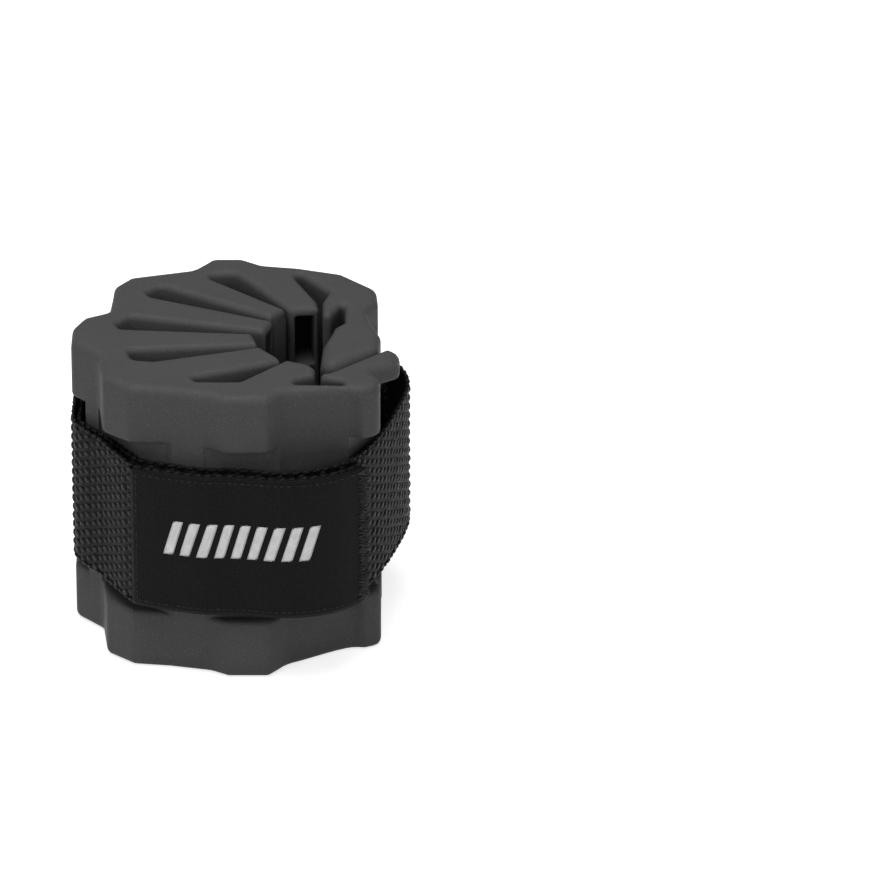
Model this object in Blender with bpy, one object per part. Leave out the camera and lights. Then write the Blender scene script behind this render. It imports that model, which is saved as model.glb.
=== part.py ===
"""A bike frame protector pad: one rolled, moulded rubber foam pad with a webbing strap round its waist.

Lengths are metres and +Z is up. The plan is drawn about the centre of the pad's outer circle, and the
finished model is then moved so that the origin is the middle of its footprint.
"""

import math

import bmesh
import bpy
from mathutils import Matrix, Vector

# Pad. Every plan size below scales with its width; the tables are drawn for a pad of PLAN_WIDTH
PAD_WIDTH = 0.1048
PAD_HEIGHT = 0.100
FLANGE_HEIGHT = 0.020
NOSE_HEIGHT = 0.007
ARC_STEP = math.radians(32)
ARC_SHARE = 0.45
PLAN_WIDTH = 104.8
UNIT = PAD_WIDTH / PLAN_WIDTH
EDGE_CHAMFER = 0.9 * UNIT

# Pockets in the tooth tips
POCKET_ROWS = 5
POCKET_DEPTH = 0.013
POCKET_WALL = 0.0016
POCKET_WEB = 0.002
POCKET_RIM = 0.003

# Strap
STRAP_WIDTH = 0.050
STRAP_THICKNESS = 0.0016
STRAP_LIFT = -0.0005
RIB_ROWS = 16
RIB_DEPTH = 0.0003
STRAP_STEP = math.radians(7.5)
CLEARANCE = 0.00035
TAPE_THICKNESS = 0.0008
TAPE_MARGIN = 0.002
LABEL_THICKNESS = 0.0006
LABEL_MARGIN = 0.0004

# Angles about the outer circle's centre, counter-clockwise from +X seen from above
LABEL_START = math.radians(236)
HOOK_TAPE_START = math.radians(242)
LOOP_TAPE_START = math.radians(240)
FREE_END = math.radians(314)
FULL_TURN = 2 * math.pi

# Plan corners: x, y, corner radius, counter-clockwise round the outer wall
OUTER_WALL = {
    "clockwise end": [(46.8, -14.9, 2.5), (47.4, -4.0, 5.0), (42.6, 13.0, 6.0)],
    "back right lobe": [(46.3, 22.0, 4.0), (45.8, 31.2, 5.0), (34.6, 43.2, 6.0), (20.0, 48.2, 10.0)],
    "back lobe": [(8.5, 50.2, 6.0), (1.5, 55.2, 4.0), (-8.6, 55.2, 4.0)],
    "back left lobe": [(-14.8, 46.4, 6.0), (-35.2, 40.4, 4.0), (-40.0, 33.5, 4.0), (-40.4, 24.0, 5.0),
                       (-41.0, 14.0, 5.0)],
    "left lobe": [(-49.2, 9.4, 4.0), (-52.4, 2.0, 4.0), (-52.4, -9.6, 4.0), (-43.2, -19.8, 6.0)],
    "front left lobe": [(-41.4, -36.2, 3.5), (-32.8, -44.0, 3.5), (-21.0, -45.6, 9.0)],
    "front lobe": [(-7.8, -48.8, 8.0), (-2.2, -52.4, 2.5), (11.6, -52.4, 2.5), (17.5, -46.0, 5.0)],
    "front right lobe": [(38.0, -44.6, 10.0), (42.0, -46.0, 3.0), (47.3, -43.0, 4.0), (47.3, -36.0, 4.0)],
    "nose": [(44.8, -31.2, 3.0), (53.4, -25.5, 3.5), (53.6, -16.5, 4.5), (49.6, -12.7, 3.0)],
}

# The same for the slots and tooth tips, clockwise round the bore from the nose back to the other end
TEETH = {
    "tooth 8": [(28.2, -33.4, 1.2)],
    "slot G": [(29.0, -36.2, 1.0), (35.5, -38.8, 1.3), (36.3, -41.4, 1.3), (19.4, -40.8, 1.5),
               (21.0, -37.2, 1.5), (26.5, -34.4, 1.0)],
    "tooth 7": [(26.6, -29.0, 2.0), (24.6, -26.2, 1.2), (17.2, -22.6, 1.2)],
    "slot F": [(2.5, -38.8, 2.0), (-11.0, -38.8, 1.8), (-13.0, -35.5, 1.8), (0.0, -30.6, 3.0)],
    "tooth 6": [(15.6, -23.8, 1.0), (14.4, -20.4, 1.2), (8.6, -12.9, 1.2)],
    "slot E": [(-25.0, -23.6, 3.0), (-32.0, -22.6, 3.0), (-34.0, -15.5, 2.0)],
    "tooth 5": [(8.0, -11.6, 1.2), (6.0, -3.0, 1.2)],
    "slot D": [(-36.5, 0.6, 1.5), (-38.6, 4.5, 2.0), (-33.5, 10.2, 3.0)],
    "tooth 4": [(9.8, -1.4, 1.2), (12.6, 6.4, 1.2)],
    "slot C": [(-27.5, 25.0, 1.5), (-29.5, 28.5, 2.0), (-24.5, 33.8, 2.5)],
    "tooth 3": [(11.6, 9.2, 1.2), (16.3, 15.4, 1.0)],
    "slot B": [(-8.6, 39.2, 1.5), (-8.5, 42.2, 2.0), (-1.0, 43.6, 2.5), (3.6, 37.5, 5.0)],
    "tooth 2": [(17.8, 14.6, 1.2), (27.2, 15.7, 1.2)],
    "slot A": [(26.5, 21.4, 1.0), (18.8, 40.6, 1.5), (20.5, 43.0, 1.5), (30.4, 29.0, 1.2)],
    "tooth 1a": [(28.2, 21.6, 1.0), (28.4, 11.2, 1.2), (31.2, 10.2, 1.2)],
    "notch": [(31.9, 13.4, 2.0), (34.3, 18.6, 1.0), (35.6, 18.0, 1.0), (35.6, 5.0, 1.0)],
    "tooth 1b": [(31.8, 2.6, 1.5), (28.6, -10.0, 10.0), (27.6, -32.9, 5.0)],
}

# Teeth whose tip, the last side of each, carries pockets
POCKETED_TEETH = ("tooth 2", "tooth 3", "tooth 4", "tooth 5", "tooth 6", "tooth 7")

# Waist panels: a lobe, the side of it that one lies on, how far it runs past both corners, its depth
SIDES = ("first side", "second side", "third side")
PANELS = [
    ("clockwise end", "first side", 0.2, 4.0, 2.6),
    ("back right lobe", "second side", 8.0, 8.0, 5.6),
    ("back right lobe", "third side", 0.0, 12.5, 3.6),
    ("back lobe", "second side", 7.0, 7.0, 7.0),
    ("back left lobe", "first side", -1.0, 3.0, 1.9),
    ("back left lobe", "second side", 9.0, 9.0, 5.8),
    ("left lobe", "second side", 8.0, 7.4, 4.6),
    ("front lobe", "second side", 6.9, 5.0, 4.0),
]

# Panels that lie square to a line from the centre: its angle in degrees, its length, both ends across it
SQUARE_PANELS = [
    ("front left lobe", 212.0, 46.7, -6.0, 25.2),
    ("front left valley", 241.0, 49.5, -7.0, 7.0),
    ("front right lobe", -27.4, 53.7, -24.0, 8.0),
]

# Under its thin top, the nose is cut off level with the loose end: the cut's X, and its two Y
NOSE_PANEL_X = 47.2
NOSE_PANEL_Y = (-31.0, -11.0)

# The loose end's foot tucks back by this much, from the first X to the second, and most towards the
# lower of these Y
END_LEAN = 13.0
LEAN_X = (10.0, 43.0)
LEAN_Y = (30.0, -45.0)

# Strap slot in the clockwise end: low and high X, low and high Y; and the strap's first run out of it
ANCHOR_SLOT = (39.4, 50.0, 5.4, 10.4)
ANCHOR_HEADROOM = 0.003
STRAP_ROOT = [(40.6, 10.5), (44.4, 10.5), (46.5, 11.3), (47.9, 13.4)]

# Distance of the strap's middle from the circle's centre, in plan units, against the angle in degrees
STRAP_ROUTE = [
    (19, 51.1), (25, 53.2), (31, 54.0), (38, 52.4), (50, 51.3), (60, 52.2), (67, 51.2), (75, 50.2),
    (83, 50.1), (90, 49.8), (97, 50.3), (105, 52.1), (112, 50.9), (121, 50.9), (130, 49.9), (140, 48.4),
    (150, 48.2), (160, 49.0), (166, 50.4), (170, 50.4), (180, 49.3), (188, 50.0), (196, 51.7), (203, 50.1),
    (212, 48.5), (222, 49.2), (229, 50.8), (235, 52.2), (242, 51.3), (252, 50.4), (260, 50.7),
    (268, 50.1), (276, 51.2), (284, 54.2), (292, 56.4), (300, 57.6), (311, 57.4), (321, 55.2),
    (332, 53.2), (343, 52.3), (354, 52.9), (363, 54.6), (376, 57.9), (388, 59.2), (400, 58.1),
    (412, 56.2), (420, 54.9), (428, 53.7), (436, 52.7), (450, 52.2), (465, 54.1), (473, 53.2),
    (481, 53.2), (490, 52.2), (500, 50.7), (510, 50.5), (520, 51.2), (526, 52.5), (530, 52.5), (540, 51.7),
    (548, 52.4), (556, 53.5), (563, 52.3), (572, 51.0), (582, 52.2), (589, 54.2), (595, 56.4),
    (602, 56.2), (612, 55.2), (620, 55.4), (628, 54.8), (636, 55.9), (644, 58.9), (652, 61.1),
    (660, 62.3), (668, 62.3), (674, 61.6),
]


def clear_scene():
    for item in list(bpy.data.objects):
        bpy.data.objects.remove(item)


def collection(name):
    group = bpy.data.collections.new(name)
    bpy.context.scene.collection.children.link(group)
    return group


def material(name, colour, roughness):
    mat = bpy.data.materials.new(name)
    mat.use_nodes = True
    shader = mat.node_tree.nodes["Principled BSDF"]
    shader.inputs["Base Color"].default_value = (*colour, 1.0)
    shader.inputs["Roughness"].default_value = roughness
    shader.inputs["Metallic"].default_value = 0.0
    mat.diffuse_color = (*colour, 1.0)
    return mat


def rounded_loop(corners):
    """The closed outline through these corners, with an arc of each corner's radius."""
    loop = []
    for index, (x, y, radius) in enumerate(corners):
        here = Vector((x, y))
        before = Vector(corners[index - 1][:2]) - here
        after = Vector(corners[(index + 1) % len(corners)][:2]) - here
        half = before.angle(after) / 2
        reach = min(radius / math.tan(half), ARC_SHARE * before.length, ARC_SHARE * after.length)
        radius = reach * math.tan(half)
        middle = here + (before.normalized() + after.normalized()).normalized() * radius / math.sin(half)
        first = here + before.normalized() * reach - middle
        last = here + after.normalized() * reach - middle
        turn = first.angle_signed(last)
        steps = max(1, math.ceil(abs(turn) / ARC_STEP))
        for step in range(steps + 1):
            loop.append(middle + Matrix.Rotation(-turn * step / steps, 2) @ first)
    return [(point.x * UNIT, point.y * UNIT) for point in loop]


def mesh_from_curve(curve_object, name, group):
    """A closed mesh object made of this curve object, which is removed."""
    depsgraph = bpy.context.evaluated_depsgraph_get()
    mesh = bpy.data.meshes.new_from_object(curve_object.evaluated_get(depsgraph))
    work = bmesh.new()
    work.from_mesh(mesh)
    bmesh.ops.remove_doubles(work, verts=work.verts, dist=1e-6)
    bmesh.ops.recalc_face_normals(work, faces=work.faces)
    work.to_mesh(mesh)
    work.free()
    place = curve_object.matrix_world.copy()
    bpy.data.objects.remove(curve_object)
    result = bpy.data.objects.new(name, mesh)
    result.matrix_world = place
    group.objects.link(result)
    return result


def plate(name, loop, bottom, top, group, chamfer=0.0):
    """A flat outline made solid between two heights, with its edges chamfered inwards."""
    curve = bpy.data.curves.new(name, "CURVE")
    curve.dimensions = "2D"
    curve.fill_mode = "BOTH"
    curve.extrude = (top - bottom) / 2 - chamfer
    curve.bevel_depth = chamfer
    curve.bevel_resolution = 0
    curve.offset = -chamfer
    spline = curve.splines.new("POLY")
    spline.points.add(len(loop) - 1)
    for point, (x, y) in zip(spline.points, loop):
        point.co = (x, y, 0, 1)
    spline.use_cyclic_u = True
    raised = bpy.data.objects.new(name, curve)
    raised.location.z = (bottom + top) / 2
    group.objects.link(raised)
    bpy.context.view_layer.update()
    return mesh_from_curve(raised, name, group)


def box_cutter(name, centre, size, angle, group):
    """A box with its first side along the angle; it is hidden and only cuts."""
    mesh = bpy.data.meshes.new(name)
    work = bmesh.new()
    bmesh.ops.create_cube(work, size=1.0, matrix=Matrix.Diagonal((*size, 1.0)))
    work.to_mesh(mesh)
    work.free()
    box = bpy.data.objects.new(name, mesh)
    box.location = centre
    box.rotation_euler.z = angle
    box.hide_render = True
    box.display_type = "WIRE"
    group.objects.link(box)
    return box


def cut(target, cutters, operation="DIFFERENCE"):
    """Cuts the target with every object of the cutters' collection and keeps the result as its mesh."""
    modifier = target.modifiers.new("cut", "BOOLEAN")
    modifier.operation = operation
    modifier.solver = "EXACT"
    modifier.operand_type = "COLLECTION"
    modifier.collection = cutters
    bpy.context.view_layer.update()
    depsgraph = bpy.context.evaluated_depsgraph_get()
    mesh = bpy.data.meshes.new_from_object(target.evaluated_get(depsgraph))
    target.modifiers.clear()
    target.data = mesh


def panel_cutters(group):
    """Boxes that set the lobes back to flat panels between the two flanges."""
    waist = PAD_HEIGHT - 2 * FLANGE_HEIGHT
    reach = PAD_WIDTH / 2
    for name, side, before, after, depth in PANELS:
        corners = OUTER_WALL[name][SIDES.index(side):]
        start, end = (Vector(corner[:2]) * UNIT for corner in corners[:2])
        along = (end - start).normalized()
        out = Vector((along.y, -along.x))
        start -= along * before * UNIT
        end += along * after * UNIT
        centre = (start + end) / 2 + out * (reach / 2 - depth * UNIT)
        place = (centre.x, centre.y, PAD_HEIGHT / 2)
        size = (reach, (end - start).length, waist)
        box_cutter(f"panel {name} {side}", place, size, math.atan2(out.y, out.x), group)
    for name, degrees, distance, low, high in SQUARE_PANELS:
        angle = math.radians(degrees)
        out = Vector((math.cos(angle), math.sin(angle), 0))
        across = Vector((-out.y, out.x, 0))
        centre = out * (distance * UNIT + reach / 2) + across * (low + high) / 2 * UNIT
        centre.z = PAD_HEIGHT / 2
        box_cutter(f"panel {name}", centre, (reach, (high - low) * UNIT, waist), angle, group)
    near, far = (y * UNIT for y in NOSE_PANEL_Y)
    top = PAD_HEIGHT - NOSE_HEIGHT
    centre = (NOSE_PANEL_X * UNIT + reach / 2, (near + far) / 2, (top - FLANGE_HEIGHT) / 2)
    box_cutter("panel nose", centre, (reach, far - near, top + FLANGE_HEIGHT), 0, group)


def pocket_cutters(group):
    """Stacked boxes that hollow each tooth from its tip face."""
    pitch = (PAD_HEIGHT - 2 * POCKET_RIM + POCKET_WEB) / POCKET_ROWS
    for name in POCKETED_TEETH:
        start, end = (Vector(corner[:2]) * UNIT for corner in TEETH[name][-2:])
        width = (end - start).length - 2 * POCKET_WALL
        inwards = Vector((end.y - start.y, start.x - end.x)).normalized()
        angle = math.atan2(-inwards.y, -inwards.x)
        for row in range(POCKET_ROWS):
            height = POCKET_RIM + pitch * row + (pitch - POCKET_WEB) / 2
            centre = (start + end) / 2 - inwards * POCKET_DEPTH / 2
            place = (centre.x, centre.y, height)
            size = (2 * POCKET_DEPTH, width, pitch - POCKET_WEB)
            box_cutter(f"pocket {name} {row + 1}", place, size, angle, group)


def lean_free_end(mesh):
    """Tucks the loose end's foot back under its top, as the tight strap holds it."""
    for vertex in mesh.vertices:
        x, y = vertex.co.x / UNIT, vertex.co.y / UNIT
        along = min(1.0, max(0.0, (x - LEAN_X[0]) / (LEAN_X[1] - LEAN_X[0])))
        near = min(1.0, max(0.0, (y - LEAN_Y[0]) / (LEAN_Y[1] - LEAN_Y[0])))
        share = 1 - (vertex.co.z / PAD_HEIGHT) ** 2
        vertex.co.y += END_LEAN * UNIT * share * along * along * (3 - 2 * along) * near


def make_pad(group):
    corners = [corner for wall in OUTER_WALL.values() for corner in wall]
    corners += [corner for tooth in TEETH.values() for corner in tooth]
    pad = plate("pad_body", rounded_loop(corners), 0, PAD_HEIGHT, group, EDGE_CHAMFER)
    cutters = collection("pad cutters")
    cutters.hide_render = True
    panel_cutters(cutters)
    pocket_cutters(cutters)
    low, high, near, far = (value * UNIT for value in ANCHOR_SLOT)
    tall = STRAP_WIDTH + 2 * ANCHOR_HEADROOM
    middle = ((low + high) / 2, (near + far) / 2, PAD_HEIGHT / 2 + STRAP_LIFT)
    box_cutter("anchor slot", middle, (high - low, far - near, tall), 0, cutters)
    cut(pad, cutters)
    lean_free_end(pad.data)
    pad.data.materials.append(material("rubber foam", (0.075, 0.075, 0.077), 0.62))
    return pad


def route_distance(angle):
    """How far the strap's middle is from the circle's centre at this angle, smooth through the route."""
    degrees = math.degrees(angle)
    last = len(STRAP_ROUTE) - 1
    place = next((i for i in range(last) if degrees <= STRAP_ROUTE[i + 1][0]), last - 1)
    points = [STRAP_ROUTE[min(last, max(0, place + step))] for step in (-1, 0, 1, 2)]
    span = points[2][0] - points[1][0]
    part = (degrees - points[1][0]) / span
    slopes = [
        (points[2][1] - points[0][1]) / (points[2][0] - points[0][0]) * span,
        (points[3][1] - points[1][1]) / (points[3][0] - points[1][0]) * span,
    ]
    square, cube = part * part, part * part * part
    height = (2 * cube - 3 * square + 1) * points[1][1] + (cube - 2 * square + part) * slopes[0]
    height += (3 * square - 2 * cube) * points[2][1] + (cube - square) * slopes[1]
    return height * UNIT


def route(start, end, shift=0.0):
    """Plan points along the strap between two angles, moved outwards by the shift."""
    steps = max(2, round((end - start) / STRAP_STEP))
    points = []
    for step in range(steps + 1):
        angle = start + (end - start) * step / steps
        distance = route_distance(angle) + shift
        points.append((distance * math.cos(angle), distance * math.sin(angle)))
    return points


def make_webbing(group):
    """The ribbed strap: a cross-section with a rib for each row of weave, swept along the route."""
    section = bpy.data.curves.new("strap section", "CURVE")
    section.dimensions = "2D"
    half_width, half_thick = STRAP_WIDTH / 2, STRAP_THICKNESS / 2
    outline = [(half_thick, -half_width), (half_thick, half_width)]
    for row in range(2 * RIB_ROWS + 1):
        height = half_width - STRAP_WIDTH * row / (2 * RIB_ROWS)
        outline.append((-half_thick + (0.0 if row % 2 else RIB_DEPTH), height))
    spline = section.splines.new("POLY")
    spline.points.add(len(outline) - 1)
    for point, (x, y) in zip(spline.points, outline):
        point.co = (x, y, 0, 1)
    spline.use_cyclic_u = True
    profile = bpy.data.objects.new("strap section", section)
    profile.hide_render = True
    bpy.context.scene.collection.objects.link(profile)

    curve = bpy.data.curves.new("strap_webbing", "CURVE")
    curve.dimensions = "3D"
    curve.twist_mode = "Z_UP"
    curve.bevel_mode = "OBJECT"
    curve.bevel_object = profile
    curve.use_fill_caps = True
    root = [(x * UNIT, y * UNIT) for x, y in STRAP_ROOT]
    points = root + route(math.radians(STRAP_ROUTE[0][0]), FREE_END + FULL_TURN)
    spline = curve.splines.new("POLY")
    spline.points.add(len(points) - 1)
    for point, (x, y) in zip(spline.points, points):
        point.co = (x, y, 0, 1)
    band = bpy.data.objects.new("strap_webbing", curve)
    band.location.z = PAD_HEIGHT / 2 + STRAP_LIFT
    group.objects.link(band)
    bpy.context.view_layer.update()
    webbing = mesh_from_curve(band, "strap_webbing", group)
    bpy.data.objects.remove(profile)
    webbing.data.materials.append(material("webbing", (0.010, 0.010, 0.011), 0.75))
    return webbing


def band(name, start, end, shift, thickness, width, group):
    """A plain strip of cloth that follows the strap's route, moved outwards by the shift."""
    inner = route(start, end, shift - thickness / 2)
    outer = route(start, end, shift + thickness / 2)
    middle = PAD_HEIGHT / 2 + STRAP_LIFT
    return plate(name, inner + outer[::-1], middle - width / 2, middle + width / 2, group)


def make_tapes(group):
    """Loop tape on the inner lap and hook tape inside the free end, face to face under the label."""
    gap = STRAP_THICKNESS / 2 + CLEARANCE + TAPE_THICKNESS / 2
    width = STRAP_WIDTH - 2 * TAPE_MARGIN
    loop = band("loop_tape", LOOP_TAPE_START, FREE_END, gap, TAPE_THICKNESS, width, group)
    loop.data.materials.append(material("loop tape", (0.014, 0.014, 0.015), 0.9))
    start, end = HOOK_TAPE_START + FULL_TURN, FREE_END + FULL_TURN
    hook = band("hook_tape", start, end, -gap, TAPE_THICKNESS, width, group)
    hook.data.materials.append(material("hook tape", (0.012, 0.012, 0.013), 0.6))


def make_label(group):
    """The close-woven patch on the outside of the free end."""
    shift = STRAP_THICKNESS / 2 + CLEARANCE + LABEL_THICKNESS / 2
    start, end = LABEL_START + FULL_TURN, FREE_END + FULL_TURN
    width = STRAP_WIDTH - 2 * LABEL_MARGIN
    label = band("label_patch", start, end, shift, LABEL_THICKNESS, width, group)
    label.data.materials.append(material("label cloth", (0.006, 0.006, 0.007), 0.7))
    return label


def centre_on_footprint(objects):
    """Moves the meshes so that the origin is the middle of the footprint, at the foot."""
    corners = [item.matrix_world @ vertex.co for item in objects for vertex in item.data.vertices]
    middle = Vector([
        (min(corner[axis] for corner in corners) + max(corner[axis] for corner in corners)) / 2
        for axis in (0, 1)
    ] + [min(corner.z for corner in corners)])
    for item in objects:
        item.data.transform(Matrix.Translation(-middle) @ item.matrix_world)
        item.matrix_world = Matrix.Identity(4)


def main():
    clear_scene()
    parts = collection("bike frame protector pad")
    make_pad(parts)
    make_webbing(parts)
    make_tapes(parts)
    make_label(parts)
    bpy.context.view_layer.update()
    centre_on_footprint(list(parts.objects))


main()
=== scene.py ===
"""Bike frame protector pad: the finish of every piece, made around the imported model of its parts.

Plan tables are in millimetres about the centre of the pad's outer circle; meshes are in metres.
"""

import math

import bmesh
import bpy
import numpy as np
from mathutils import Matrix, Vector
from mathutils.geometry import delaunay_2d_cdt


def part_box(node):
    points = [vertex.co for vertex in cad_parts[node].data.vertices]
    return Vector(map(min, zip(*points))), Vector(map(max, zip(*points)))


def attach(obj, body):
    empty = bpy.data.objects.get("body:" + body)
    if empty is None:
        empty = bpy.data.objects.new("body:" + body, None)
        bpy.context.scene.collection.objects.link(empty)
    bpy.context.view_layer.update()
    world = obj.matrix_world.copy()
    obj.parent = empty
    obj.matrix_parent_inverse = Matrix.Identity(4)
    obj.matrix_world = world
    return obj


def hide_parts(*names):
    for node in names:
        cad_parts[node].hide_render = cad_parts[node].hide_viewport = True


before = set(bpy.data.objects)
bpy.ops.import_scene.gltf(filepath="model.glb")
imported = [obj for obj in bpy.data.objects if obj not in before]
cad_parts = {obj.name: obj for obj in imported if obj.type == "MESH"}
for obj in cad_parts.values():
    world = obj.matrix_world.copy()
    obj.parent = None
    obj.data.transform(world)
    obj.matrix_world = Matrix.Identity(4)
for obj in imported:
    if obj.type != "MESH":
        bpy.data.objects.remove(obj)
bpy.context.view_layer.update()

bl_info = {
    "name": "Bike Frame Protector Pad",
    "version": (1, 0, 0),
    "blender": (4, 5, 0),
    "location": "View3D > Sidebar > Frame Pad",
    "description": "Makes a rolled foam pad with a woven hook-and-loop strap",
    "category": "Add Mesh",
}

MM = 0.001
PAD_LOW, PAD_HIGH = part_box("pad_body")
STRAP_LOW, STRAP_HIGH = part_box("strap_webbing")

# Outline of the pad, counter-clockwise: x, y, corner radius
OUTER_WALL = {
    "clockwise end": [(46.8, -14.9, 2.5), (47.4, -4.0, 5.0), (42.6, 13.0, 6.0)],
    "back right lobe": [(46.3, 22.0, 4.0), (45.8, 31.2, 5.0), (34.6, 43.2, 6.0), (20.0, 48.2, 10.0)],
    "back lobe": [(8.5, 50.2, 6.0), (1.5, 55.2, 4.0), (-8.6, 55.2, 4.0)],
    "back left lobe": [(-14.8, 46.4, 6.0), (-35.2, 40.4, 4.0), (-40.0, 33.5, 4.0), (-40.4, 24.0, 5.0),
                       (-41.0, 14.0, 5.0)],
    "left lobe": [(-49.2, 9.4, 4.0), (-52.4, 2.0, 4.0), (-52.4, -9.6, 4.0), (-43.2, -19.8, 6.0)],
    "front left lobe": [(-41.4, -36.2, 3.5), (-32.8, -44.0, 3.5), (-21.0, -45.6, 9.0)],
    "front lobe": [(-7.8, -48.8, 8.0), (-2.2, -52.4, 2.5), (11.6, -52.4, 2.5), (17.5, -46.0, 5.0)],
    "front right lobe": [(38.0, -44.6, 10.0), (42.0, -46.0, 3.0), (47.3, -43.0, 4.0), (47.3, -36.0, 4.0)],
    "nose": [(44.8, -31.2, 3.0), (53.4, -25.5, 3.5), (53.6, -16.5, 4.5), (49.6, -12.7, 3.0)],
}
TEETH = {
    "tooth 8": [(28.2, -33.4, 1.2)],
    "slot G": [(29.0, -36.2, 1.0), (35.5, -38.8, 1.3), (36.3, -41.4, 1.3), (19.4, -40.8, 1.5),
               (21.0, -37.2, 1.5), (26.5, -34.4, 1.0)],
    "tooth 7": [(26.6, -29.0, 2.0), (24.6, -26.2, 1.2), (17.2, -22.6, 1.2)],
    "slot F": [(2.5, -38.8, 2.0), (-11.0, -38.8, 1.8), (-13.0, -35.5, 1.8), (0.0, -30.6, 3.0)],
    "tooth 6": [(15.6, -23.8, 1.0), (14.4, -20.4, 1.2), (8.6, -12.9, 1.2)],
    "slot E": [(-25.0, -23.6, 3.0), (-32.0, -22.6, 3.0), (-34.0, -15.5, 2.0)],
    "tooth 5": [(8.0, -11.6, 1.2), (6.0, -3.0, 1.2)],
    "slot D": [(-36.5, 0.6, 1.5), (-38.6, 4.5, 2.0), (-33.5, 10.2, 3.0)],
    "tooth 4": [(9.8, -1.4, 1.2), (12.6, 6.4, 1.2)],
    "slot C": [(-27.5, 25.0, 1.5), (-29.5, 28.5, 2.0), (-24.5, 33.8, 2.5)],
    "tooth 3": [(11.6, 9.2, 1.2), (16.3, 15.4, 1.0)],
    "slot B": [(-8.6, 39.2, 1.5), (-8.5, 42.2, 2.0), (-1.0, 43.6, 2.5), (3.6, 37.5, 5.0)],
    "tooth 2": [(17.8, 14.6, 1.2), (27.2, 15.7, 1.2)],
    "slot A": [(26.5, 21.4, 1.0), (18.8, 40.6, 1.5), (20.5, 43.0, 1.5), (30.4, 29.0, 1.2)],
    "tooth 1a": [(28.2, 21.6, 1.0), (28.4, 11.2, 1.2), (31.2, 10.2, 1.2)],
    "notch": [(31.9, 13.4, 2.0), (34.3, 18.6, 1.0), (35.6, 18.0, 1.0), (35.6, 5.0, 1.0)],
    "tooth 1b": [(31.8, 2.6, 1.5), (28.6, -10.0, 10.0), (27.6, -32.9, 5.0)],
}
POCKETED_TEETH = ("tooth 2", "tooth 3", "tooth 4", "tooth 5", "tooth 6", "tooth 7")

# Waist panels: a lobe, the first corner of one side, how far the panel runs past both corners, its depth
PANELS = [
    ("clockwise end", 0, 0.2, 4.0, 2.6),
    ("back right lobe", 1, 8.0, 8.0, 5.6),
    ("back right lobe", 2, 0.0, 12.5, 3.6),
    ("back lobe", 1, 7.0, 7.0, 7.0),
    ("back left lobe", 0, -1.0, 3.0, 1.9),
    ("back left lobe", 1, 9.0, 9.0, 5.8),
    ("left lobe", 1, 8.0, 7.4, 4.6),
    ("front lobe", 1, 6.9, 5.0, 4.0),
]
# Panels square to a line from the centre: its angle in degrees, its length, both ends across it
SQUARE_PANELS = [(212.0, 46.7, -6.0, 25.2), (241.0, 49.5, -7.0, 7.0), (-27.4, 53.7, -24.0, 8.0)]
PANEL_REACH = 30.0
# Ground that the nose covers: from and to in x, then in y
NOSE_BOX = (47.2, 60.0, -31.0, -11.0)
PAD_HEIGHT = 100.0
FLANGE_HEIGHT = 20.0
NOSE_HEIGHT = 7.0
# How far the loose end's foot is tucked back, and where in x and in y the tuck grows from none to full
END_LEAN, LEAN_X, LEAN_Y = 13.0, (10.0, 43.0), (30.0, -45.0)
# Slot that holds the strap's root: from and to in x, y and z
ANCHOR_SLOT = (39.4, 50.0, 5.4, 10.4, 21.5, 77.5)

# Pockets: rows up each tooth tip, the wall, web and rim left round them, their corners' radius and how far
# their sides draw in at the bottom
POCKET_ROWS, POCKET_WALL, POCKET_WEB, POCKET_RIM = 5, 1.6, 2.0, 3.0
POCKET_CORNER, POCKET_DRAFT = 0.9, 0.5
# Depth into the tooth against how far the pocket's mouth flares there
POCKET_FLARE = ((-0.6, 0.9), (0.0, 0.55), (0.12, 0.3), (0.35, 0.1), (0.8, 0.0))

# Spacing of the ground plan's points: round a corner's arc, along the outline, along a panel and in the
# lattice between, and how far the lattice stays from the rounded edge
ARC_STEP, OUTLINE_SPACING, PANEL_SPACING = math.radians(14), 0.95, 1.0
LATTICE_PITCH, LATTICE_GAP = 2.4, 0.9
# Turns of the rounded top edge, in degrees, that get a ring of points, and the room that the last one and
# the lattice leave past the edge's end, as a share of its radius
EDGE_TURNS, EDGE_ROOM = (20, 40, 60, 80, 100), 0.12
# A ring's point is left out where the outline comes nearer to it than this share of its distance
RING_SHARE = 0.97
# Points on either side that the top edge's radius is averaged over
RADIUS_BLEND = 4
# Heights at which the walls are divided, and the least distance from such a height to a wall's end
WALL_ROWS = (10.0, 18.5, 29.0, 39.5, 50.0, 60.5, 71.0, 81.5, 88.0, 94.5)
ROW_ROOM = 0.05

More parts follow.
